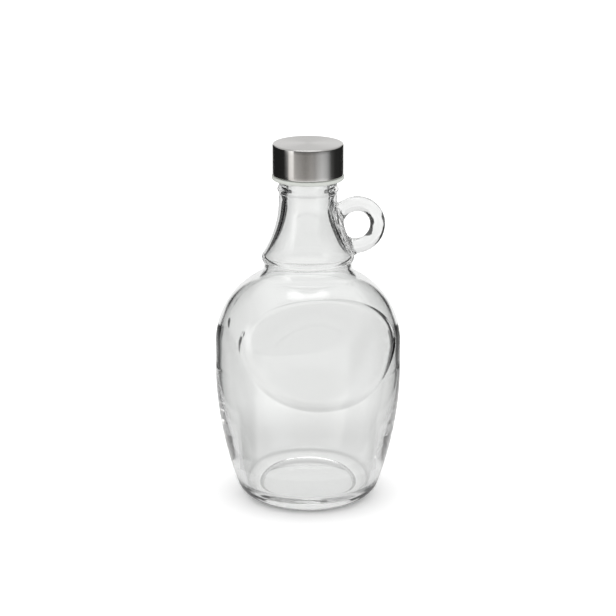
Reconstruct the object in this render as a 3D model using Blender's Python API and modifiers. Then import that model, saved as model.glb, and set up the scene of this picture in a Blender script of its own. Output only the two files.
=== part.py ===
"""Handled glass bottle with a steel screw cap.

A clear glass bottle, moulded in one piece: a round body with a flattened oval
label panel on each side, a collar, a flared neck and a ring handle. A brushed
steel shell over a plastic insert closes the mouth. Metres, +Z up. The origin is
on the table plane, on the bottle's axis, and +X points to the handle.
"""

import math

import bpy
from mathutils import Matrix, Vector

MM = 0.001

# Driving dimensions, in millimetres.
GAP = 0.3                      # clearance kept between separate pieces

# Body, from the table up.
RING_INNER_R = 21.3            # flat standing ring, inner edge
HEEL_RADIUS = 10.0             # rounding from the standing ring into the wall
PUSH_UP_HEIGHT = 2.4           # hollow under the base, at the axis
PUSH_UP_LEDGE = 1.0            # short rise just inside the standing ring
BODY_R = 41.85                 # widest radius
BODY_LOW_Z = 62.0              # the straight widest band starts here
BODY_HIGH_Z = 72.0             # and ends here, where the shoulder starts
LOWER_ARC_RADIUS = 165.0       # long arc from the heel to the widest band
SHOULDER_RADIUS = 35.5

# Collar and neck.
NOTCH_R = 19.7                 # groove between the shoulder and the collar
NOTCH_RADIUS = 5.0
COLLAR_R = 20.85
COLLAR_RADIUS = 2.0
FLARE_RADIUS = 48.0
NECK_R = 13.05
BEAD_Z = 143.4                 # transfer bead under the cap
BEAD_R = 13.8
BEAD_RADIUS = 1.4
FINISH_R = 13.0                # straight top of the neck, inside the cap
LIP_RADIUS = 0.9
OVERCUT = 5.0                  # how far the cavity's cutter passes the mouth

# Wall. It is even from the shoulder down and swells towards the heel.
BODY_WALL = 1.9
PANEL_WALL = 1.3
BORE_R = 9.9
INNER_COLLAR_RADIUS = 2.0
HEEL_SWELL = 2.2               # what the wall gains at the heel
SWELL_Z = 10.0                 # full below this height
SWELL_HEIGHT = 28.0            # how fast it fades above it
SWELL_POWER = 2.2
CORNER_Z = 16.0                # the rounding into the floor starts here
CORNER_RADIUS = 12.0
FLOOR_CENTRE_Z = 9.0           # inner floor at the axis

# Oval label panels, front and back: a leaning cylinder cut into the body.
PANEL_FACE_Y = 34.5            # distance from the axis at the panel's middle
PANEL_MIDDLE_Z = 77.0
PANEL_CURVE_RADIUS = 56.8
PANEL_LEAN = math.radians(16.1)
PANEL_BLOCK_HALF = (45.0, 25.0, 30.0)
PANEL_FACETS = 96

# Ring handle.
HANDLE_X = 22.1
HANDLE_Z = 125.6
HANDLE_RING_R = 9.7            # to the middle of the rod
HANDLE_ROD_R = 3.4

# Cap.
CAP_R = 15.5
CAP_HEIGHT = 14.1              # steel shell
CAP_EDGE_RADIUS = 0.8
STEEL = 0.4
INSERT_RIM_HEIGHT = 1.7        # part of the insert that shows under the shell
INSERT_RIM_R = 15.6
INSERT_CHAMFER = 0.5
INSERT_WALL = 1.0
INSERT_TOP = 1.2
CAP_TOP_Z = 163.9

TURN_STEPS = 56
CAVITY_STEPS = 40
WALL_STEPS = 6                 # of the lower inner wall
CAP_STEPS = 56


def arc(centre, radius, start, end, steps):
    """Points (r, z) on an arc. Angles are in radians, from +r towards +z."""
    points = []
    for i in range(steps + 1):
        angle = start + (end - start) * i / steps
        points.append((centre[0] + radius * math.cos(angle), centre[1] + radius * math.sin(angle)))
    return points


def angle_to(origin, target):
    return math.atan2(target[1] - origin[1], target[0] - origin[0])


def dome(edge_r, edge_z, centre_z, steps):
    """Spherical floor or ceiling, from its edge in to the axis."""
    points = []
    for i in range(steps + 1):
        share = 1 - i / steps
        points.append((edge_r * share, centre_z + (edge_z - centre_z) * share ** 2))
    return points


def centre_above(r, base, reach):
    """Centre at radius r, above base and reach away from it."""
    return (r, base[1] + math.sqrt(reach ** 2 - (r - base[0]) ** 2))


def centre_between(low, low_reach, high, high_reach):
    """Centre at the two given distances from low and high, on the side of the axis."""
    apart = math.dist(low, high)
    along = (low_reach ** 2 - high_reach ** 2 + apart ** 2) / (2 * apart)
    aside = math.sqrt(low_reach ** 2 - along ** 2)
    up = ((high[0] - low[0]) / apart, (high[1] - low[1]) / apart)
    return (low[0] + up[0] * along - up[1] * aside, low[1] + up[1] * along + up[0] * aside)


# Centres of the arcs. Each arc touches the next, from the lower wall up to the flare.
LOWER_CENTRE = (BODY_R - LOWER_ARC_RADIUS, BODY_LOW_Z)
SHOULDER_CENTRE = (BODY_R - SHOULDER_RADIUS, BODY_HIGH_Z)
NOTCH_CENTRE = centre_above(NOTCH_R + NOTCH_RADIUS, SHOULDER_CENTRE, SHOULDER_RADIUS + NOTCH_RADIUS)
COLLAR_CENTRE = centre_above(COLLAR_R - COLLAR_RADIUS, NOTCH_CENTRE, COLLAR_RADIUS + NOTCH_RADIUS)
FLARE_CENTRE = centre_above(NECK_R + FLARE_RADIUS, COLLAR_CENTRE, FLARE_RADIUS + COLLAR_RADIUS)


def lower_arc_r(z, reach):
    """Radius from the axis to an arc of the given reach round the lower wall's centre."""
    return LOWER_CENTRE[0] + math.sqrt(reach ** 2 - (LOWER_CENTRE[1] - z) ** 2)


def inner_wall_r(z):
    """Inner radius of the lower wall, which thickens towards the heel."""
    fade = (max(z - SWELL_Z, 0) / SWELL_HEIGHT) ** SWELL_POWER
    return lower_arc_r(z, LOWER_ARC_RADIUS) - BODY_WALL - HEEL_SWELL * math.exp(-fade)


def neck_to_shoulder(flare_radius, collar, collar_radius, wall):
    """The curve down the flare, round the collar and the notch and over the shoulder."""
    to_flare = angle_to(collar, FLARE_CENTRE)
    to_notch = angle_to(collar, NOTCH_CENTRE)
    to_shoulder = angle_to(SHOULDER_CENTRE, NOTCH_CENTRE)
    points = arc(FLARE_CENTRE, flare_radius, math.pi, math.pi + to_flare, 7)
    points += arc(collar, collar_radius, to_flare, to_notch, 4)[1:]
    points += arc(NOTCH_CENTRE, NOTCH_RADIUS + wall, math.pi + to_notch, math.pi + to_shoulder, 4)[1:]
    points += arc(SHOULDER_CENTRE, SHOULDER_RADIUS - wall, to_shoulder, 0, 8)[1:]
    return points


def outer_profile():
    mouth_z = CAP_TOP_Z - STEEL - GAP - INSERT_TOP - GAP
    points = [(0, mouth_z)]
    points += arc((FINISH_R - LIP_RADIUS, mouth_z - LIP_RADIUS), LIP_RADIUS, math.pi / 2, 0, 3)
    bead_reach = math.acos((FINISH_R - BEAD_R + BEAD_RADIUS) / BEAD_RADIUS)
    points += arc((BEAD_R - BEAD_RADIUS, BEAD_Z), BEAD_RADIUS, bead_reach, -bead_reach, 6)

    points += neck_to_shoulder(FLARE_RADIUS, COLLAR_CENTRE, COLLAR_RADIUS, 0)

    heel = (lower_arc_r(HEEL_RADIUS, LOWER_ARC_RADIUS - HEEL_RADIUS), HEEL_RADIUS)
    to_heel = angle_to(LOWER_CENTRE, heel)
    points += arc(LOWER_CENTRE, LOWER_ARC_RADIUS, 0, to_heel, 7)
    points += arc(heel, HEEL_RADIUS, to_heel, -math.pi / 2, 6)[1:]
    points += [(RING_INNER_R, 0)]
    points += dome(RING_INNER_R - PUSH_UP_LEDGE, PUSH_UP_LEDGE, PUSH_UP_HEIGHT, 4)
    return points


def cavity_profile():
    """Inner surface, from above the mouth down to the floor."""
    flare_radius = FLARE_CENTRE[0] - BORE_R
    collar = centre_between(NOTCH_CENTRE, NOTCH_RADIUS + BODY_WALL + INNER_COLLAR_RADIUS,
                            FLARE_CENTRE, flare_radius + INNER_COLLAR_RADIUS)
    top_z = CAP_TOP_Z + OVERCUT
    points = [(0, top_z), (BORE_R, top_z)]
    points += neck_to_shoulder(flare_radius, collar, INNER_COLLAR_RADIUS, BODY_WALL)

    for i in range(WALL_STEPS + 1):
        z = BODY_LOW_Z + (CORNER_Z - BODY_LOW_Z) * i / WALL_STEPS
        points.append((inner_wall_r(z), z))
    edge_r = inner_wall_r(CORNER_Z)
    lean = math.atan(inner_wall_r(CORNER_Z + 1) - edge_r)
    corner = (edge_r - CORNER_RADIUS * math.cos(lean), CORNER_Z + CORNER_RADIUS * math.sin(lean))
    points += arc(corner, CORNER_RADIUS, -lean, -math.pi / 2, 5)[1:]
    points += dome(corner[0], corner[1] - CORNER_RADIUS, FLOOR_CENTRE_Z, 4)[1:]
    return points


def shell_profile():
    low_z = CAP_TOP_Z - CAP_HEIGHT
    inner_r = CAP_R - STEEL
    inner_z = CAP_TOP_Z - STEEL
    points = [(0, CAP_TOP_Z)]
    points += arc((CAP_R - CAP_EDGE_RADIUS, CAP_TOP_Z - CAP_EDGE_RADIUS), CAP_EDGE_RADIUS, math.pi / 2, 0, 4)
    points += [(CAP_R, low_z), (inner_r, low_z)]
    points += [(inner_r, inner_z - CAP_EDGE_RADIUS), (inner_r - CAP_EDGE_RADIUS, inner_z), (0, inner_z)]
    return points


def insert_profile():
    shell_low = CAP_TOP_Z - CAP_HEIGHT
    body_r = CAP_R - STEEL - GAP
    inner_r = body_r - INSERT_WALL
    top_z = CAP_TOP_Z - STEEL - GAP
    rim_top = shell_low - GAP
    rim_low = rim_top - INSERT_RIM_HEIGHT
    points = [(0, top_z), (body_r - CAP_EDGE_RADIUS, top_z), (body_r, top_z - CAP_EDGE_RADIUS)]
    points += [(body_r, rim_top), (INSERT_RIM_R, rim_top)]
    points += [(INSERT_RIM_R, rim_low + INSERT_CHAMFER), (INSERT_RIM_R - INSERT_CHAMFER, rim_low)]
    points += [(inner_r, rim_low), (inner_r, top_z - INSERT_TOP), (0, top_z - INSERT_TOP)]
    return points


def material(name, colour, roughness, metallic=0.0, transmission=0.0):
    result = bpy.data.materials.new(name)
    result.use_nodes = True
    shader = result.node_tree.nodes["Principled BSDF"]
    shader.inputs["Base Color"].default_value = (*colour, 1)
    shader.inputs["Roughness"].default_value = roughness
    shader.inputs["Metallic"].default_value = metallic
    shader.inputs["Transmission Weight"].default_value = transmission
    return result


def turned(name, profile, steps, collection):
    """A solid turned round Z from a profile that runs from the axis round to the axis."""
    mesh = bpy.data.meshes.new(name)
    points = [Vector((r * MM, 0, z * MM)) for r, z in profile]
    mesh.from_pydata(points, [(i, i + 1) for i in range(len(points) - 1)], [])
    piece = bpy.data.objects.new(name, mesh)
    collection.objects.link(piece)
    screw = piece.modifiers.new("turn", "SCREW")
    screw.axis = "Z"
    screw.angle = math.tau
    screw.steps = steps
    screw.render_steps = steps
    screw.use_merge_vertices = True
    screw.merge_threshold = 0.00001
    screw.use_smooth_shade = True
    return piece


def as_cutter(piece):
    piece.hide_render = True
    piece.display_type = "WIRE"
    for holder in list(piece.users_collection):
        holder.objects.unlink(piece)
    cutters.objects.link(piece)
    return piece


def boolean(piece, other, operation):
    step = piece.modifiers.new(other.name, "BOOLEAN")
    step.object = other
    step.operation = operation
    step.solver = "EXACT"


def panel_cutter(name, side, wall):
    """What a label panel takes off: a block whose inner face is the leaning cylinder.

    side is -1 for the front (-Y) and 1 for the back; wall moves the face inwards.
    """
    lean = PANEL_LEAN * side
    middle = Vector((0, side * PANEL_FACE_Y, PANEL_MIDDLE_Z))
    inwards = Vector((0, -side * math.cos(PANEL_LEAN), -math.sin(PANEL_LEAN)))
    radius = PANEL_CURVE_RADIUS - wall

    bpy.ops.mesh.primitive_cylinder_add(
        vertices=PANEL_FACETS, radius=radius * MM, depth=2.4 * PANEL_BLOCK_HALF[2] * MM,
        location=(middle + inwards * PANEL_CURVE_RADIUS) * MM, rotation=(lean, 0, 0))
    cylinder = as_cutter(bpy.context.object)
    cylinder.name = name + "_face"

    bpy.ops.mesh.primitive_cube_add(size=2)
    block = as_cutter(bpy.context.object)
    block.name = name
    block_centre = middle - inwards * (wall / 2)
    place = Matrix.Translation(block_centre * MM) @ Matrix.Rotation(lean, 4, "X")
    block.data.transform(place @ Matrix.Diagonal((*(Vector(PANEL_BLOCK_HALF) * MM), 1)))
    boolean(block, cylinder, "DIFFERENCE")
    return block


def handle_ring():
    bpy.ops.mesh.primitive_torus_add(
        major_segments=40, minor_segments=12, major_radius=HANDLE_RING_R * MM,
        minor_radius=HANDLE_ROD_R * MM, location=(HANDLE_X * MM, 0, HANDLE_Z * MM),
        rotation=(math.pi / 2, 0, 0))
    ring = as_cutter(bpy.context.object)
    ring.name = "handle_ring"
    return ring


def build_bottle(parts):
    bottle = turned("bottle", outer_profile(), TURN_STEPS, parts)
    cavity = as_cutter(turned("cavity", cavity_profile(), CAVITY_STEPS, parts))
    for side, label in ((-1, "front"), (1, "back")):
        boolean(bottle, panel_cutter("panel_" + label, side, 0), "DIFFERENCE")
        boolean(cavity, panel_cutter("inner_panel_" + label, side, PANEL_WALL), "DIFFERENCE")
    boolean(bottle, handle_ring(), "UNION")
    boolean(bottle, cavity, "DIFFERENCE")
    bottle.data.materials.append(material("clear_glass", (0.95, 0.97, 0.96), 0.02, transmission=1.0))


def build_cap(parts):
    shell = turned("cap_shell", shell_profile(), CAP_STEPS, parts)
    shell.data.materials.append(material("brushed_steel", (0.62, 0.61, 0.59), 0.3, metallic=1.0))
    insert = turned("cap_insert", insert_profile(), CAP_STEPS, parts)
    insert.data.materials.append(material("pale_plastic", (0.74, 0.76, 0.72), 0.45))


for old in list(bpy.data.objects):
    bpy.data.objects.remove(old)

parts = bpy.data.collections.new("handled_glass_bottle")
cutters = bpy.data.collections.new("cutters")
bpy.context.scene.collection.children.link(parts)
bpy.context.scene.collection.children.link(cutters)

build_bottle(parts)
build_cap(parts)
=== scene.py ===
"""Handled glass bottle with a brushed steel screw cap: the looks.

The bottle stands on the table plane on the world's Z axis. Its ring handle
points to +X and its two label panels face -Y and +Y. The scene is in metres,
and the pieces' outlines are given in millimetres.
"""

import math

import bpy
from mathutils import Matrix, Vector


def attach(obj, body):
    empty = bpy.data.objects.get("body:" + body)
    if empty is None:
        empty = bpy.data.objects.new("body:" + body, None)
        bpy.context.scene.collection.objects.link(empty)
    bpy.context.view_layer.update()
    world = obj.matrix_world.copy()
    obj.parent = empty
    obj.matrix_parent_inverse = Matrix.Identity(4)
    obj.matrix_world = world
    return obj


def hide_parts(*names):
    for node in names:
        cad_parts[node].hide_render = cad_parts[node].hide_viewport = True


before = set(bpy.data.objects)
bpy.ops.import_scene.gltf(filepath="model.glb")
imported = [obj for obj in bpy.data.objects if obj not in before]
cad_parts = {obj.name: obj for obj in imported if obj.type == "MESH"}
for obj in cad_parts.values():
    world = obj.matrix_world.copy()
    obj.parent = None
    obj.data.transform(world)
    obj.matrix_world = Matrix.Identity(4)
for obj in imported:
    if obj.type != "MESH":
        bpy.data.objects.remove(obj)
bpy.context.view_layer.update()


# ---------------------------------------------------------------------------
# Bottle body and neck.
# Clear soda-lime glass, blown in a two-part mould: a round body over a rounded
# heel, a groove and a collar at the foot of a flared neck, and a bead under
# the cap. The wall is thin at the shoulder and thickens towards the heel.
# ---------------------------------------------------------------------------
MM = 0.001
MERGE_DISTANCE = 0.00001
GLASS_SEGMENTS = 184

# The outside, from the standing ring up.
RING_INNER_R = 22.4
HEEL_RADIUS = 10.0
PUSH_UP_HEIGHT = 2.4
PUSH_UP_LEDGE = 1.0
BODY_R = 41.85
BODY_LOW_Z = 62.0
BODY_HIGH_Z = 72.0
LOWER_ARC_RADIUS = 165.0
SHOULDER_RADIUS = 35.5
NOTCH_R = 19.7
NOTCH_RADIUS = 5.0
COLLAR_R = 20.85
COLLAR_RADIUS = 2.0
FLARE_RADIUS = 48.0
NECK_R = 13.05
BEAD_Z = 143.4
BEAD_R = 13.75
BEAD_HALF_HEIGHT = 2.2
BEAD_STEPS = 8
FINISH_R = 13.0
LIP_RADIUS = 0.9
MOUTH_Z = 161.7

# The inside: the wall's thickness, how it swells towards the heel, and the floor.
BODY_WALL = 1.9
BORE_R = 9.9
INNER_FLARE_RADIUS = 43.0
INNER_COLLAR_RADIUS = 1.2
HEEL_SWELL = 2.2
SWELL_Z = 10.0
SWELL_HEIGHT = 28.0
SWELL_POWER = 2.2
CORNER_Z = 9.4
CORNER_RADIUS = 2.2
FLOOR_CENTRE_Z = 8.4


def arc(centre, radius, start, end, spacing=1.0):
    """Points (r, z) along an arc, about one spacing apart."""
    steps = max(2, round(abs(end - start) * radius / spacing))
    return [(centre[0] + radius * math.cos(start + (end - start) * i / steps),
             centre[1] + radius * math.sin(start + (end - start) * i / steps)) for i in range(steps + 1)]


def straight(start, end, spacing=1.0):
    """Points (r, z) along a straight line, about one spacing apart."""
    steps = max(1, round(math.dist(start, end) / spacing))
    return [(start[0] + (end[0] - start[0]) * i / steps, start[1] + (end[1] - start[1]) * i / steps)
            for i in range(steps + 1)]


def dome(edge, centre_z, spacing=1.6):
    """A shallow dome from its edge in to the axis."""
    steps = round(edge[0] / spacing)
    return [(edge[0] * (1 - i / steps), centre_z + (edge[1] - centre_z) * (1 - i / steps) ** 2)
            for i in range(steps + 1)]


def angle_to(origin, target):
    return math.atan2(target[1] - origin[1], target[0] - origin[0])


def centre_above(r, base, reach):
    """The point at radius r that is one reach away from a base point, above it."""
    return (r, base[1] + math.sqrt(reach ** 2 - (r - base[0]) ** 2))


def centre_between(low, low_reach, high, high_reach):
    """The point at given distances from two others, on the side of the axis."""
    apart = math.dist(low, high)
    along = (low_reach ** 2 - high_reach ** 2 + apart ** 2) / (2 * apart)
    aside = math.sqrt(low_reach ** 2 - along ** 2)
    up = ((high[0] - low[0]) / apart, (high[1] - low[1]) / apart)
    return (low[0] + up[0] * along - up[1] * aside, low[1] + up[1] * along + up[0] * aside)


def lower_arc_r(z, reach):
    """Radius at a height of the body's lower arc, or of a line inside it."""
    return LOWER_CENTRE[0] + math.sqrt(reach ** 2 - (LOWER_CENTRE[1] - z) ** 2)


def inner_wall_r(z):
    """Inner radius of the lower wall, which thickens towards the heel."""
    fade = (max(z - SWELL_Z, 0) / SWELL_HEIGHT) ** SWELL_POWER
    return lower_arc_r(z, LOWER_ARC_RADIUS) - BODY_WALL - HEEL_SWELL * math.exp(-fade)


LOWER_CENTRE = (BODY_R - LOWER_ARC_RADIUS, BODY_LOW_Z)
SHOULDER_CENTRE = (BODY_R - SHOULDER_RADIUS, BODY_HIGH_Z)
NOTCH_CENTRE = centre_above(NOTCH_R + NOTCH_RADIUS, SHOULDER_CENTRE, SHOULDER_RADIUS + NOTCH_RADIUS)
COLLAR_CENTRE = centre_above(COLLAR_R - COLLAR_RADIUS, NOTCH_CENTRE, COLLAR_RADIUS + NOTCH_RADIUS)
FLARE_CENTRE = centre_above(NECK_R + FLARE_RADIUS, COLLAR_CENTRE, FLARE_RADIUS + COLLAR_RADIUS)


def shoulder_to_neck(flare, flare_radius, collar, collar_radius, wall):
    """Up over the shoulder, round the groove and the collar and up the flare."""
    to_flare = angle_to(collar, flare)
    to_notch = angle_to(collar, NOTCH_CENTRE)
    to_shoulder = angle_to(SHOULDER_CENTRE, NOTCH_CENTRE)
    points = arc(SHOULDER_CENTRE, SHOULDER_RADIUS - wall, 0, to_shoulder)
    points += arc(
        NOTCH_CENTRE, NOTCH_RADIUS + wall, math.pi + to_shoulder, math.pi + to_notch, 0.5)[1:]
    points += arc(collar, collar_radius, to_notch, to_flare, 0.4)[1:]
    points += arc(flare, flare_radius, math.pi + to_flare, math.pi)[1:]
    return points


def glass_outline():
    """The whole wall in section, from under the push-up round to the inner floor."""
    heel = (lower_arc_r(HEEL_RADIUS, LOWER_ARC_RADIUS - HEEL_RADIUS), HEEL_RADIUS)
    to_heel = angle_to(LOWER_CENTRE, heel)
    outer = dome((RING_INNER_R - PUSH_UP_LEDGE, PUSH_UP_LEDGE), PUSH_UP_HEIGHT)[::-1]
    outer += arc((RING_INNER_R, PUSH_UP_LEDGE), PUSH_UP_LEDGE, math.pi, 1.5 * math.pi, 0.3)[1:]
    outer += arc(heel, HEEL_RADIUS, -math.pi / 2, to_heel, 0.8)
    outer += arc(LOWER_CENTRE, LOWER_ARC_RADIUS, to_heel, 0)[1:]
    outer += straight((BODY_R, BODY_LOW_Z), (BODY_R, BODY_HIGH_Z))[1:]
    outer += shoulder_to_neck(FLARE_CENTRE, FLARE_RADIUS, COLLAR_CENTRE, COLLAR_RADIUS, 0)[1:]
    bead = [(FINISH_R + (BEAD_R - FINISH_R) * math.cos(i * math.pi / (2 * BEAD_STEPS)) ** 2,
             BEAD_Z + BEAD_HALF_HEIGHT * i / BEAD_STEPS) for i in range(-BEAD_STEPS, BEAD_STEPS + 1)]
    outer += straight(outer[-1], bead[0])[1:] + bead[1:]
    lip = arc((FINISH_R - LIP_RADIUS, MOUTH_Z - LIP_RADIUS), LIP_RADIUS, 0, math.pi / 2, 0.3)
    outer += straight(outer[-1], lip[0], 2.0)[1:] + lip[1:]

    inner_flare = (BORE_R + INNER_FLARE_RADIUS, FLARE_CENTRE[1])
    inner_collar = centre_between(
        NOTCH_CENTRE, NOTCH_RADIUS + BODY_WALL + INNER_COLLAR_RADIUS,
        inner_flare, INNER_FLARE_RADIUS + INNER_COLLAR_RADIUS)
    edge_r = inner_wall_r(CORNER_Z)
    lean = math.atan(inner_wall_r(CORNER_Z + 1) - edge_r)
    corner = (edge_r - CORNER_RADIUS * math.cos(lean), CORNER_Z + CORNER_RADIUS * math.sin(lean))
    inner = dome((corner[0], corner[1] - CORNER_RADIUS), FLOOR_CENTRE_Z, 2.0)[::-1]
    inner += arc(corner, CORNER_RADIUS, -math.pi / 2, -lean, 0.3)[1:]
    inner += [(inner_wall_r(CORNER_Z + i), CORNER_Z + i)
              for i in range(1, round(BODY_LOW_Z - CORNER_Z) + 1)]
    inner += straight((BODY_R - BODY_WALL, BODY_LOW_Z), (BODY_R - BODY_WALL, BODY_HIGH_Z))[1:]
    inner += shoulder_to_neck(
        inner_flare, INNER_FLARE_RADIUS, inner_collar, INNER_COLLAR_RADIUS, BODY_WALL)[1:]
    inner += straight((BORE_R, FLARE_CENTRE[1]), (BORE_R, MOUTH_Z), 1.5)[1:]
    return outer, inner[::-1]


def turn(name, outline, segments):
    """A piece turned round the Z axis from its section, drawn point by point and spun."""
    bpy.ops.object.select_all(action="DESELECT")
    bpy.ops.mesh.primitive_plane_add(size=MM)
    piece = bpy.context.object
    piece.name = name
    bpy.ops.object.mode_set(mode="EDIT")
    bpy.ops.mesh.merge(type="CENTER")
    here = Vector((outline[0][0], 0, outline[0][1]))
    bpy.ops.transform.translate(value=here * MM)
    for r, z in outline[1:]:
        there = Vector((r, 0, z))
        bpy.ops.mesh.extrude_vertices_move(TRANSFORM_OT_translate={"value": (there - here) * MM})
        here = there
    bpy.ops.mesh.select_all(action="SELECT")
    bpy.ops.mesh.spin(steps=segments, angle=math.tau, center=(0, 0, 0), axis=(0, 0, 1))
    bpy.ops.mesh.select_all(action="SELECT")
    bpy.ops.mesh.remove_doubles(threshold=MERGE_DISTANCE)
    bpy.ops.mesh.normals_make_consistent(inside=False)
    bpy.ops.object.mode_set(mode="OBJECT")
    bpy.ops.object.shade_smooth()
    return piece


outer_wall, inner_wall = glass_outline()
bottle = turn("bottle_glass", outer_wall + inner_wall, GLASS_SEGMENTS)


# ---------------------------------------------------------------------------
# Label panels.
# One shallow oval flat on the front and one on the back, part of the mould.
# Each is a gently curved face that leans back with the shoulder, and the edge
# round it is softly rounded, because hot glass never fills a sharp corner.
# ---------------------------------------------------------------------------
PANEL_FACE_Y = 34.5
PANEL_MIDDLE_Z = 77.0
PANEL_CURVE_RADIUS = 56.8
PANEL_LEAN = math.radians(16.1)
PANEL_WALL = 1.5
PANEL_EDGE = 0.15
PANEL_INNER_EDGE = 1.0
PANEL_FINE_BAND = 0.3
PANEL_FINE_CUTS = 3
PANEL_HEIGHTS = (35, 115)
CLEAR_OF_BASE_R = 12
MIDDLE_OF_WALL = 1.0


def panel_reach(x, y, z, wall):
    """Distance from the bottle's axis to the panel's face, in the direction of x, y."""
    side = -1 if y < 0 else 1
    inwards = Vector((0, -side * math.cos(PANEL_LEAN), -math.sin(PANEL_LEAN)))
    up = Vector((0, -side * math.sin(PANEL_LEAN), math.cos(PANEL_LEAN)))
    on_axis = Vector((0, side * PANEL_FACE_Y, PANEL_MIDDLE_Z)) + inwards * PANEL_CURVE_RADIUS
    ray = Vector((x, y, 0)).normalized()
    start = Vector((0, 0, z)) - on_axis
    start -= up * start.dot(up)
    ray_across = ray - up * ray.dot(up)
    a = ray_across.dot(ray_across)
    b = start.dot(ray_across)
    c = start.dot(start) - (PANEL_CURVE_RADIUS - wall) ** 2
    return (-b + math.sqrt(b * b - a * c)) / a


def wall_radius(outline, z):
    """Radius of the outer wall at a height, above the heel."""
    for (r0, z0), (r1, z1) in zip(outline, outline[1:]):
        if z0 <= z <= z1 and z0 < z1 and r0 > CLEAR_OF_BASE_R:
            return r0 + (r1 - r0) * (z - z0) / (z1 - z0)
    return 0


def at_panel_height(point):
    """Whether a point of the wall is level with the panels, inside or out."""
    low, high = PANEL_HEIGHTS
    return low < point.z / MM < high and math.hypot(point.x, point.y) / MM > CLEAR_OF_BASE_R


def is_inside(point):
    """Whether a point is on the wall's inner side."""
    return math.hypot(point.x, point.y) / MM < wall_radius(outer_wall, point.z / MM) - MIDDLE_OF_WALL


def press_panels(piece):
    """Presses both panels into the wall, inside and out, with a softly rounded edge."""
    for point in piece.data.vertices:
        if not at_panel_height(point.co):
            continue
        x, y, z = point.co / MM
        r = math.hypot(x, y)
        inside = is_inside(point.co)
        edge = PANEL_INNER_EDGE if inside else PANEL_EDGE
        reach = panel_reach(x, y, z, PANEL_WALL if inside else 0)
        overlap = max(edge - abs(r - reach), 0) / edge
        pressed = min(r, reach) - overlap * overlap * edge / 4
        point.co.x *= pressed / r
        point.co.y *= pressed / r


# The outer wall gets smaller faces along the panels' edges, so that they stay crisp.
near_edge = []
for point in bottle.data.vertices:
    near = False
    if at_panel_height(point.co) and not is_inside(point.co):
        x, y, z = point.co / MM
        near = abs(panel_reach(x, y, z, 0) - math.hypot(x, y)) < PANEL_FINE_BAND
    near_edge.append(near)
bpy.context.view_layer.objects.active = bottle
bpy.context.tool_settings.mesh_select_mode = (False, False, True)
bpy.ops.object.mode_set(mode="EDIT")
bpy.ops.mesh.select_all(action="DESELECT")
bpy.ops.object.mode_set(mode="OBJECT")
for face in bottle.data.polygons:
    face.select = any(near_edge[corner] for corner in face.vertices)
bpy.ops.object.mode_set(mode="EDIT")
bpy.ops.mesh.subdivide(number_cuts=PANEL_FINE_CUTS)
bpy.ops.object.mode_set(mode="OBJECT")
bpy.context.tool_settings.mesh_select_mode = (True, False, False)
press_panels(bottle)


# ---------------------------------------------------------------------------
# Ring handle.
# A solid glass ring pressed in the same mould as the bottle, so it grows out
# of the neck without a seam: its rod swells a little where it meets the wall.
# ---------------------------------------------------------------------------
HANDLE_X = 22.1
HANDLE_Z = 125.6
HANDLE_RING_R = 9.7
HANDLE_ROD_R = 3.4
HANDLE_ROOT_REACH = 2.4
HANDLE_ROOT_SWELL = 1.5
HANDLE_RING_SEGMENTS = 120
HANDLE_ROD_SEGMENTS = 48
PLUG_LOW_Z = 105
PLUG_HIGH_Z = 141
PLUG_SEGMENTS = 96

bpy.ops.object.select_all(action="DESELECT")
bpy.ops.mesh.primitive_torus_add(
    major_segments=HANDLE_RING_SEGMENTS, minor_segments=HANDLE_ROD_SEGMENTS,
    major_radius=HANDLE_RING_R * MM, minor_radius=HANDLE_ROD_R * MM,
    location=(HANDLE_X * MM, 0, HANDLE_Z * MM), rotation=(math.pi / 2, 0, 0))
handle = bpy.context.object
handle.name = "ring_handle"
bpy.ops.object.transform_apply(location=True, rotation=True, scale=True)
# The rod swells where it comes near the wall.
for point in handle.data.vertices:
    x, y, z = point.co / MM
    off_wall = math.hypot(x, y) - wall_radius(outer_wall, z)
    turn_at = math.atan2(z - HANDLE_Z, x - HANDLE_X)
    rod_middle = Vector((
        HANDLE_X + HANDLE_RING_R * math.cos(turn_at), 0, HANDLE_Z + HANDLE_RING_R * math.sin(turn_at)))
    out = (Vector((x, y, z)) - rod_middle).normalized()
    near = max(0.0, 1 - max(off_wall, 0) / HANDLE_ROOT_REACH)
    point.co += out * near * near * HANDLE_ROOT_SWELL * MM

# The part of the ring inside the neck is trimmed away in the middle of the wall.
plug_side = [(wall_radius(outer_wall, z) - MIDDLE_OF_WALL, z)
             for z in range(PLUG_LOW_Z + 1, PLUG_HIGH_Z + 1)]
plug = turn("neck_plug", [(0, PLUG_LOW_Z)] + plug_side + [(0, PLUG_HIGH_Z)], PLUG_SEGMENTS)
for piece, other, operation in ((handle, plug, "DIFFERENCE"), (bottle, handle, "UNION")):
    step = piece.modifiers.new(other.name, "BOOLEAN")
    step.object = other
    step.operation = operation
    step.solver = "EXACT"
    bpy.context.view_layer.objects.active = piece
    bpy.ops.object.modifier_apply(modifier=step.name)
bpy.data.objects.remove(plug)
bpy.data.objects.remove(handle)

GLASS_TINT = (0.92, 0.925, 0.92, 1)
GLASS_IOR = 1.52
WAVES_PER_METRE = 55
WAVES_DRAWN_UP = 0.45
WAVE_DEPTH = 0.00006

glass = bpy.data.materials.new("clear_flint_glass")
glass.use_nodes = True
nodes, links = glass.node_tree.nodes, glass.node_tree.links
shader = nodes["Principled BSDF"]
shader.inputs["Base Color"].default_value = GLASS_TINT
shader.inputs["Roughness"].default_value = 0.0
shader.inputs["IOR"].default_value = GLASS_IOR
shader.inputs["Transmission Weight"].default_value = 1.0
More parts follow.
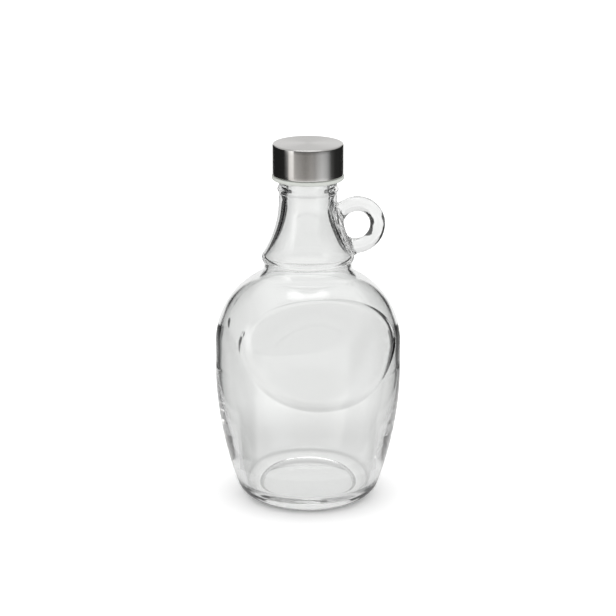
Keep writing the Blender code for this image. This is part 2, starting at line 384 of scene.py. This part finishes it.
# Blown glass is never quite even: its skin has a very shallow, slow waviness, drawn out upwards.
place = nodes.new("ShaderNodeTexCoord")
drawn = nodes.new("ShaderNodeMapping")
drawn.inputs["Scale"].default_value = (1, 1, WAVES_DRAWN_UP)
links.new(place.outputs["Object"], drawn.inputs["Vector"])
waves = nodes.new("ShaderNodeTexNoise")
waves.inputs["Scale"].default_value = WAVES_PER_METRE
waves.inputs["Detail"].default_value = 1.5
links.new(drawn.outputs["Vector"], waves.inputs["Vector"])
skin = nodes.new("ShaderNodeBump")
skin.inputs["Strength"].default_value = 1.0
skin.inputs["Distance"].default_value = WAVE_DEPTH
links.new(waves.outputs["Fac"], skin.inputs["Height"])
links.new(skin.outputs["Normal"], shader.inputs["Normal"])
bottle.data.materials.clear()
bottle.data.materials.append(glass)

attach(bottle, "root")
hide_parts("bottle")


# ---------------------------------------------------------------------------
# Cap shell.
# Stainless steel sheet 0.4 mm thick, drawn into a cup and brushed as it turns:
# fine rings on the top and fine level lines round the side. Its top edge is
# softly rounded and its lower edge is turned in against the insert.
# ---------------------------------------------------------------------------
CAP_R = 15.85
CAP_HEIGHT = 14.1
CAP_EDGE_RADIUS = 0.8
CAP_TOP_Z = 163.9
STEEL = 0.4
CAP_HEM_RADIUS = 0.5
CAP_HEM_TURN = math.radians(75)
CAP_HEM_HEIGHT = 1.0
CAP_HEM_STANDS_IN = 0.05
CAP_HEM_FOOT = 0.1
CAP_HEM_SLOPE = 0.2
# Where one point stands for a whole rounded corner, it is this share of the radius in.
ROUND_SHARE = 0.3
CAP_SEGMENTS = 160
BRUSHING_PER_METRE = 2600
BRUSHING_DEPTH = 0.00002
STEEL_ROUGHNESS = (0.13, 0.23)
STEEL_TINTS = ((0.555, 0.545, 0.53, 1), (0.64, 0.63, 0.615, 1))

low_z = CAP_TOP_Z - CAP_HEIGHT
inner_r = CAP_R - STEEL
inner_z = CAP_TOP_Z - STEEL
section = straight((0, CAP_TOP_Z), (CAP_R - CAP_EDGE_RADIUS, CAP_TOP_Z), 1.5)
section += arc(
    (CAP_R - CAP_EDGE_RADIUS, CAP_TOP_Z - CAP_EDGE_RADIUS), CAP_EDGE_RADIUS, math.pi / 2, 0, 0.12)[1:]
section += straight(section[-1], (CAP_R, low_z + CAP_HEM_RADIUS), 1.5)[1:]
section += arc((CAP_R - CAP_HEM_RADIUS, low_z + CAP_HEM_RADIUS), CAP_HEM_RADIUS, 0, -CAP_HEM_TURN, 0.12)[1:]
# Up the inside, past the turned-in hem and a short slope, and over to the axis.
hem_r = inner_r - CAP_HEM_STANDS_IN
section += [(hem_r, low_z + CAP_HEM_FOOT), (hem_r, low_z + CAP_HEM_HEIGHT)]
section += [(inner_r, low_z + CAP_HEM_HEIGHT + CAP_HEM_SLOPE), (inner_r, inner_z - CAP_EDGE_RADIUS)]
section += [(inner_r - CAP_EDGE_RADIUS * ROUND_SHARE, inner_z - CAP_EDGE_RADIUS * ROUND_SHARE)]
section += [(inner_r - CAP_EDGE_RADIUS, inner_z), (0, inner_z)]
cap_shell = turn("cap_steel_shell", section, CAP_SEGMENTS)

steel = bpy.data.materials.new("brushed_stainless_steel")
steel.use_nodes = True
nodes, links = steel.node_tree.nodes, steel.node_tree.links
shader = nodes["Principled BSDF"]
shader.inputs["Metallic"].default_value = 1.0
shader.inputs["Anisotropic"].default_value = 0.9
shader.inputs["Anisotropic Rotation"].default_value = 0.25
tangent = nodes.new("ShaderNodeTangent")
tangent.direction_type = "RADIAL"
tangent.axis = "Z"
links.new(tangent.outputs["Tangent"], shader.inputs["Tangent"])
# The brushing: noise that varies only with the distance from the axis and the height.
place = nodes.new("ShaderNodeTexCoord")
split = nodes.new("ShaderNodeSeparateXYZ")
links.new(place.outputs["Object"], split.inputs["Vector"])
level = nodes.new("ShaderNodeCombineXYZ")
links.new(split.outputs["X"], level.inputs["X"])
links.new(split.outputs["Y"], level.inputs["Y"])
off_axis = nodes.new("ShaderNodeVectorMath")
off_axis.operation = "LENGTH"
links.new(level.outputs["Vector"], off_axis.inputs[0])
ring = nodes.new("ShaderNodeCombineXYZ")
links.new(off_axis.outputs["Value"], ring.inputs["X"])
links.new(split.outputs["Z"], ring.inputs["Z"])
brushed = nodes.new("ShaderNodeTexNoise")
brushed.inputs["Scale"].default_value = BRUSHING_PER_METRE
brushed.inputs["Detail"].default_value = 3
links.new(ring.outputs["Vector"], brushed.inputs["Vector"])
sheen = nodes.new("ShaderNodeMapRange")
sheen.inputs["To Min"].default_value = STEEL_ROUGHNESS[0]
sheen.inputs["To Max"].default_value = STEEL_ROUGHNESS[1]
links.new(brushed.outputs["Fac"], sheen.inputs["Value"])
links.new(sheen.outputs["Result"], shader.inputs["Roughness"])
tint = nodes.new("ShaderNodeMix")
tint.data_type = "RGBA"
tint.inputs["A"].default_value = STEEL_TINTS[0]
tint.inputs["B"].default_value = STEEL_TINTS[1]
links.new(brushed.outputs["Fac"], tint.inputs["Factor"])
links.new(tint.outputs["Result"], shader.inputs["Base Color"])
lines = nodes.new("ShaderNodeBump")
lines.inputs["Strength"].default_value = 0.25
lines.inputs["Distance"].default_value = BRUSHING_DEPTH
links.new(brushed.outputs["Fac"], lines.inputs["Height"])
links.new(lines.outputs["Normal"], shader.inputs["Normal"])
cap_shell.data.materials.append(steel)

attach(cap_shell, "root")
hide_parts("cap_shell")


# ---------------------------------------------------------------------------
# Cap insert.
# The liner of pale grey-green plastic that the steel shell is pressed onto.
# Only its rim shows, a bevelled band under the steel.
# ---------------------------------------------------------------------------
INSERT_GAP = 0.3
INSERT_RIM_HEIGHT = 1.7
INSERT_RIM_R = 16.15
INSERT_WALL = 1.0
INSERT_TOP = 1.2
INSERT_UPPER_EDGE = 0.25
INSERT_LOWER_EDGE = 0.7
INSERT_BORE_BEVEL = 0.2
INSERT_FOOT_BEVEL = 0.15
INSERT_SEGMENTS = 128
GRAIN_PER_METRE = 1400
GRAIN_DEPTH = 0.00003
PLASTIC_ROUGHNESS = (0.34, 0.46)
PLASTIC_TINTS = ((0.59, 0.61, 0.57, 1), (0.65, 0.67, 0.63, 1))

body_r = CAP_R - STEEL - INSERT_GAP
bore_r = body_r - INSERT_WALL
top_z = CAP_TOP_Z - STEEL - INSERT_GAP
rim_top = low_z - INSERT_GAP
rim_low = rim_top - INSERT_RIM_HEIGHT
section = straight((0, top_z), (body_r - CAP_EDGE_RADIUS, top_z), 3)
section += [(body_r, top_z - CAP_EDGE_RADIUS)]
section += [(body_r, rim_top + INSERT_FOOT_BEVEL), (body_r + INSERT_FOOT_BEVEL, rim_top)]
upper_edge = (INSERT_RIM_R - INSERT_UPPER_EDGE, rim_top - INSERT_UPPER_EDGE)
section += arc(upper_edge, INSERT_UPPER_EDGE, math.pi / 2, 0, 0.08)
lower_edge = (INSERT_RIM_R - INSERT_LOWER_EDGE, rim_low + INSERT_LOWER_EDGE)
section += arc(lower_edge, INSERT_LOWER_EDGE, 0, -math.pi / 2, 0.12)
section += [(bore_r + INSERT_BORE_BEVEL, rim_low), (bore_r, rim_low + INSERT_BORE_BEVEL)]
section += [(bore_r, top_z - INSERT_TOP), (0, top_z - INSERT_TOP)]
cap_insert = turn("cap_plastic_insert", section, INSERT_SEGMENTS)

plastic = bpy.data.materials.new("pale_satin_plastic")
plastic.use_nodes = True
nodes, links = plastic.node_tree.nodes, plastic.node_tree.links
shader = nodes["Principled BSDF"]
# A satin moulded skin: a fine grain, a little uneven in tone and gloss.
place = nodes.new("ShaderNodeTexCoord")
grain = nodes.new("ShaderNodeTexNoise")
grain.inputs["Scale"].default_value = GRAIN_PER_METRE
grain.inputs["Detail"].default_value = 4
links.new(place.outputs["Object"], grain.inputs["Vector"])
tint = nodes.new("ShaderNodeMix")
tint.data_type = "RGBA"
tint.inputs["A"].default_value = PLASTIC_TINTS[0]
tint.inputs["B"].default_value = PLASTIC_TINTS[1]
links.new(grain.outputs["Fac"], tint.inputs["Factor"])
links.new(tint.outputs["Result"], shader.inputs["Base Color"])
satin = nodes.new("ShaderNodeMapRange")
satin.inputs["To Min"].default_value = PLASTIC_ROUGHNESS[0]
satin.inputs["To Max"].default_value = PLASTIC_ROUGHNESS[1]
links.new(grain.outputs["Fac"], satin.inputs["Value"])
links.new(satin.outputs["Result"], shader.inputs["Roughness"])
skin = nodes.new("ShaderNodeBump")
skin.inputs["Strength"].default_value = 0.2
skin.inputs["Distance"].default_value = GRAIN_DEPTH
links.new(grain.outputs["Fac"], skin.inputs["Height"])
links.new(skin.outputs["Normal"], shader.inputs["Normal"])
cap_insert.data.materials.append(plastic)

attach(cap_insert, "root")
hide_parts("cap_insert")


# ---------------------------------------------------------------------------
# Studio.
# A white table under an even white sky. Light that has passed through the glass
# sees the sky dimmer, and sees the table glowing with a painted shadow in grey
# rings round the bottle's foot. A can-shaped screen, which only reflections and
# strongly bent light can see, holds the black flags at both sides, the white
# backdrop, the grey room behind the camera and the softbox.
# ---------------------------------------------------------------------------
CAMERA_AZIMUTH = math.radians(-10.7)
TABLE_SIZE = 8
TABLE_SEEN = 1.22
TABLE_ELSEWHERE = 0.86
SKY_GLOW = 1.17
SKY_THROUGH_GLASS = 0.84
# Painted shadow: the grey that the table glows with where it is seen through the
# glass, by millimetres from the axis. It is darkest in a ring under the heel, where
# the bottle's contact shadow falls.
SHADE_REACH = 120
PAINTED_SHADOW_RINGS = [
    (0, 0.87), (24, 0.85), (28, 0.78), (30.5, 0.5), (33, 0.64), (38, 0.78), (50, 0.79), (64, 0.77),
    (76, 0.81), (92, 0.9), (112, 1.0)]
# The screen's outline, in millimetres. Its foot is how far in from its wall, at what height.
SCREEN_HOLE_R = 50
SCREEN_R = 300
SCREEN_FOOT = [(20, 0.3), (7, 4), (1, 15), (0, 30)]
SCREEN_TOP_EDGE_RADIUS = 150
SCREEN_TOP_EDGE_Z = 440
SCREEN_SEGMENTS = 96
# Places on the screen, in metres. The backdrop's half width is low down, above that, and at the top.
BACKDROP_TONE = 0.9
BACKDROP_HALF_LOW = 0.104
BACKDROP_HALF_HIGH = 0.165
BACKDROP_HALF_TOP = 0.130
BACKDROP_WIDENS_Z = (0.004, 0.035)
BACKDROP_NARROWS_Z = (0.055, 0.075)
BACKDROP_SOFT_EDGE = 0.006
SOFTBOX_GLOW = 2.8
SOFTBOX_LOW_Z = 0.44
SOFTBOX_Y = 0.05
SOFTBOX_HALF = (0.17, 0.11)
SOFTBOX_FADE = (1.5, 0.1)
CEILING_Z = (0.21, 0.34)
CEILING_TONE = 0.72
ROOM_Z = (0.100, 0.118)
# Degrees from straight towards the camera, positive to its right, then grey and warmth.
SCREEN_TONES = [
    (-180, 0.02, 0.0), (-78, 0.02, 0.0), (-67, 0.05, 0.0), (-62, 1.0, 0.03), (-49, 0.95, 0.03),
    (-37, 0.64, 0.02), (-21, 0.47, 0.02), (-8, 0.36, 0.02), (3, 0.46, 0.02), (10, 0.55, 0.02),
    (22, 0.55, 0.01), (32, 0.82, 0.0), (46, 1.0, -0.015), (60, 0.78, -0.01), (70, 0.45, -0.01),
    (78, 0.12, 0.0), (95, 0.03, 0.0), (180, 0.02, 0.0)]
# The tones higher up, above what the cap's side mirrors: a dark room with one strip of light, which
# draws the label panel's edge.
ROOM_TONES = [(-180, 0.02), (-80, 0.02), (-70, 0.7), (-54, 1.9), (-47, 1.9), (-43.5, 0.03), (180, 0.02)]
# The tones near the table, where the white table shows between the flags.
FLOOR_TONES = [
    (-180, 0.08), (-78, 0.10), (-66, 0.35), (-58, 1.45), (66, 1.45), (80, 0.6), (95, 0.2), (140, 0.1),
    (180, 0.1)]
FLAG_FEET_Z = (0.008, 0.030)
LIGHT_BOUNCES = 64


def math_node(nodes, links, operation, a, b=None):
    node = nodes.new("ShaderNodeMath")
    node.operation = operation
    for socket, value in zip(node.inputs, (a, b)):
        if value is None:
            continue
        if isinstance(value, (int, float)):
            socket.default_value = value
        else:
            links.new(value, socket)
    return node.outputs[0]


def smooth_step(nodes, links, value, low, high):
    node = nodes.new("ShaderNodeMapRange")
    node.interpolation_type = "SMOOTHSTEP"
    node.inputs["From Min"].default_value = low
    node.inputs["From Max"].default_value = high
    links.new(value, node.inputs["Value"])
    return node.outputs["Result"]


def colour_mix(nodes, links, share, a, b):
    node = nodes.new("ShaderNodeMix")
    node.data_type = "RGBA"
    links.new(share, node.inputs["Factor"])
    for socket, value in ((node.inputs["A"], a), (node.inputs["B"], b)):
        if isinstance(value, (int, float)):
            socket.default_value = (value, value, value, 1)
        else:
            links.new(value, socket)
    return node.outputs["Result"]


def tone_ramp(nodes, links, place, tones):
    """Greys, some with a warmth, at places from 0 to 1."""
    node = nodes.new("ShaderNodeValToRGB")
    links.new(place, node.inputs["Fac"])
    stops = node.color_ramp.elements
    while len(stops) < len(tones):
        stops.new(0.5)
    for stop, tone in zip(stops, tones):
        stop.position = tone[0]
    for stop, tone in zip(stops, tones):
        grey, warmth = tone[1], sum(tone[2:])
        stop.color = (grey + warmth, grey, grey - warmth, 1)
    return node.outputs["Color"]


def round_ramp(nodes, links, place, tones):
    """Tones at degrees round the screen."""
    return tone_ramp(nodes, links, place, [(degrees / 360 + 0.5, *tone) for degrees, *tone in tones])


def cubed_share(nodes, links, value, half):
    """How far along its half width a value lies, cubed so that the middle stays even."""
    share = math_node(nodes, links, "ABSOLUTE", math_node(nodes, links, "DIVIDE", value, half))
    return math_node(nodes, links, "POWER", share, 3.0)


bpy.ops.object.select_all(action="DESELECT")
bpy.ops.mesh.primitive_plane_add(size=TABLE_SIZE)
table = bpy.context.object
table.name = "table"
white = bpy.data.materials.new("white_table")
white.use_nodes = True
nodes, links = white.node_tree.nodes, white.node_tree.links
nodes.clear()
path = nodes.new("ShaderNodeLightPath")
tone = nodes.new("ShaderNodeMapRange")
tone.inputs["To Min"].default_value = TABLE_ELSEWHERE
tone.inputs["To Max"].default_value = TABLE_SEEN
links.new(path.outputs["Is Camera Ray"], tone.inputs["Value"])
lit = nodes.new("ShaderNodeBsdfDiffuse")
links.new(tone.outputs["Result"], lit.inputs["Color"])
# Seen through the glass, the table glows instead of being lit, with the painted shadow in rings round the
# axis.
place = nodes.new("ShaderNodeTexCoord")
off_axis = nodes.new("ShaderNodeVectorMath")
off_axis.operation = "LENGTH"
links.new(place.outputs["Object"], off_axis.inputs[0])
spread = math_node(nodes, links, "DIVIDE", off_axis.outputs["Value"], SHADE_REACH * MM)
shade = tone_ramp(nodes, links, spread, [(mm / SHADE_REACH, grey) for mm, grey in PAINTED_SHADOW_RINGS])
glow = nodes.new("ShaderNodeEmission")
links.new(shade, glow.inputs["Color"])
mix = nodes.new("ShaderNodeMixShader")
links.new(path.outputs["Is Transmission Ray"], mix.inputs["Fac"])
links.new(lit.outputs["BSDF"], mix.inputs[1])
links.new(glow.outputs["Emission"], mix.inputs[2])
out = nodes.new("ShaderNodeOutputMaterial")
links.new(mix.outputs["Shader"], out.inputs["Surface"])
table.data.materials.append(white)

# The screen: a can with a rounded foot and top, open in the middle of its floor for the bottle.
foot = [(SCREEN_HOLE_R, SCREEN_FOOT[0][1])] + [(SCREEN_R - inwards, z) for inwards, z in SCREEN_FOOT]
top_edge = (SCREEN_R - SCREEN_TOP_EDGE_RADIUS, SCREEN_TOP_EDGE_Z)
top = arc(top_edge, SCREEN_TOP_EDGE_RADIUS, 0, math.pi / 2, 15)[1:]
top += [(0, SCREEN_TOP_EDGE_Z + SCREEN_TOP_EDGE_RADIUS)]
screen = turn("reflection_screen", foot + [(SCREEN_R, SCREEN_TOP_EDGE_Z)] + top, SCREEN_SEGMENTS)
screen.rotation_euler = (0, 0, CAMERA_AZIMUTH)
screen.visible_camera = False
screen.visible_diffuse = False
screen.visible_shadow = False
screen.visible_volume_scatter = False
flags = bpy.data.materials.new("flags_and_softbox")
flags.use_nodes = True
nodes, links = flags.node_tree.nodes, flags.node_tree.links
nodes.clear()
place = nodes.new("ShaderNodeTexCoord")
split = nodes.new("ShaderNodeSeparateXYZ")
links.new(place.outputs["Object"], split.inputs["Vector"])
ahead = math_node(nodes, links, "MULTIPLY", split.outputs["Y"], -1.0)
turned = math_node(nodes, links, "ARCTAN2", split.outputs["X"], ahead)
share = math_node(nodes, links, "ADD", math_node(nodes, links, "DIVIDE", turned, math.tau), 0.5)
high_tones = round_ramp(nodes, links, share, SCREEN_TONES)
low_tones = round_ramp(nodes, links, share, FLOOR_TONES)
height = smooth_step(nodes, links, split.outputs["Z"], *FLAG_FEET_Z)
room = smooth_step(nodes, links, split.outputs["Z"], *ROOM_Z)
high_tones = colour_mix(nodes, links, room, high_tones, round_ramp(nodes, links, share, ROOM_TONES))
tones = colour_mix(nodes, links, height, low_tones, high_tones)
sideways = math_node(nodes, links, "ABSOLUTE", split.outputs["X"])
widens = smooth_step(nodes, links, split.outputs["Z"], *BACKDROP_WIDENS_Z)
widening = math_node(nodes, links, "MULTIPLY", widens, BACKDROP_HALF_HIGH - BACKDROP_HALF_LOW)
past_backdrop = math_node(nodes, links, "SUBTRACT", sideways, BACKDROP_HALF_LOW)
past_backdrop = math_node(nodes, links, "SUBTRACT", past_backdrop, widening)
narrows = smooth_step(nodes, links, split.outputs["Z"], *BACKDROP_NARROWS_Z)
narrowing = math_node(nodes, links, "MULTIPLY", narrows, BACKDROP_HALF_HIGH - BACKDROP_HALF_TOP)
past_backdrop = math_node(nodes, links, "ADD", past_backdrop, narrowing)
on_backdrop = smooth_step(nodes, links, past_backdrop, BACKDROP_SOFT_EDGE, -BACKDROP_SOFT_EDGE)
behind = math_node(nodes, links, "GREATER_THAN", split.outputs["Y"], 0.0)
backdrop = math_node(nodes, links, "MULTIPLY", on_backdrop, behind)
tones = colour_mix(nodes, links, backdrop, tones, BACKDROP_TONE)
ceiling = smooth_step(nodes, links, split.outputs["Z"], *CEILING_Z)
tones = colour_mix(nodes, links, ceiling, tones, CEILING_TONE)
# The softbox overhead: a wide soft-edged strip.
along = cubed_share(nodes, links, split.outputs["X"], SOFTBOX_HALF[0])
from_middle = math_node(nodes, links, "SUBTRACT", split.outputs["Y"], SOFTBOX_Y)
across = cubed_share(nodes, links, from_middle, SOFTBOX_HALF[1])
away = math_node(nodes, links, "ADD", along, across)
overhead = math_node(nodes, links, "GREATER_THAN", split.outputs["Z"], SOFTBOX_LOW_Z)
in_softbox = smooth_step(nodes, links, away, *SOFTBOX_FADE)
in_softbox = math_node(nodes, links, "MULTIPLY", in_softbox, overhead)
glow = nodes.new("ShaderNodeEmission")
links.new(colour_mix(nodes, links, in_softbox, tones, SOFTBOX_GLOW), glow.inputs["Color"])
path = nodes.new("ShaderNodeLightPath")
mirrored = math_node(nodes, links, "GREATER_THAN", path.outputs["Glossy Depth"], 0.5)
# The side flags also show to light that the glass bends far aside: they draw its dark edges.
bent = math_node(nodes, links, "GREATER_THAN", path.outputs["Transmission Depth"], 0.5)
aside = math_node(nodes, links, "SUBTRACT", 1.0, on_backdrop)
below = smooth_step(nodes, links, split.outputs["Z"], *CEILING_Z[::-1])
bent = math_node(nodes, links, "MULTIPLY", bent, math_node(nodes, links, "MULTIPLY", aside, below))
mirrored = math_node(nodes, links, "MAXIMUM", mirrored, bent)
clear = nodes.new("ShaderNodeBsdfTransparent")
mix = nodes.new("ShaderNodeMixShader")
links.new(mirrored, mix.inputs["Fac"])
links.new(clear.outputs["BSDF"], mix.inputs[1])
links.new(glow.outputs["Emission"], mix.inputs[2])
out = nodes.new("ShaderNodeOutputMaterial")
links.new(mix.outputs["Shader"], out.inputs["Surface"])
screen.data.materials.append(flags)

sky = bpy.data.worlds.new("even_white_sky")
sky.use_nodes = True
nodes, links = sky.node_tree.nodes, sky.node_tree.links
nodes["Background"].inputs["Color"].default_value = (1, 1, 1, 1)
path = nodes.new("ShaderNodeLightPath")
strength = nodes.new("ShaderNodeMapRange")
strength.inputs["To Min"].default_value = SKY_GLOW
strength.inputs["To Max"].default_value = SKY_THROUGH_GLASS
links.new(path.outputs["Is Transmission Ray"], strength.inputs["Value"])
links.new(strength.outputs["Result"], nodes["Background"].inputs["Strength"])
scene = bpy.context.scene
scene.world = sky
scene.view_settings.view_transform = "Standard"
# Light crosses many walls of glass before it comes out.
scene.cycles.max_bounces = LIGHT_BOUNCES
scene.cycles.transmission_bounces = LIGHT_BOUNCES
scene.cycles.glossy_bounces = LIGHT_BOUNCES


# ---------------------------------------------------------------------------
# Camera.
# About a metre away, a little to the left of the front, looking down a little.
# Its distance is level from the bottle's axis and its height is from the table.
# ---------------------------------------------------------------------------
CAMERA_FAR = 1.02242
CAMERA_HEIGHT = 0.39247
CAMERA_PITCH = 16.59
FOCAL_PIXELS = 2366.67
FRAME_PIXELS = 616
SENSOR_WIDTH = 36

camera = bpy.data.objects.new("camera", bpy.data.cameras.new("camera"))
scene.collection.objects.link(camera)
camera.data.sensor_width = SENSOR_WIDTH
camera.data.lens = SENSOR_WIDTH * FOCAL_PIXELS / FRAME_PIXELS
camera.location = (
    math.sin(CAMERA_AZIMUTH) * CAMERA_FAR, -math.cos(CAMERA_AZIMUTH) * CAMERA_FAR, CAMERA_HEIGHT)
camera.rotation_euler = (math.radians(90 - CAMERA_PITCH), 0, CAMERA_AZIMUTH)
scene.camera = camera

bpy.context.view_layer.update()
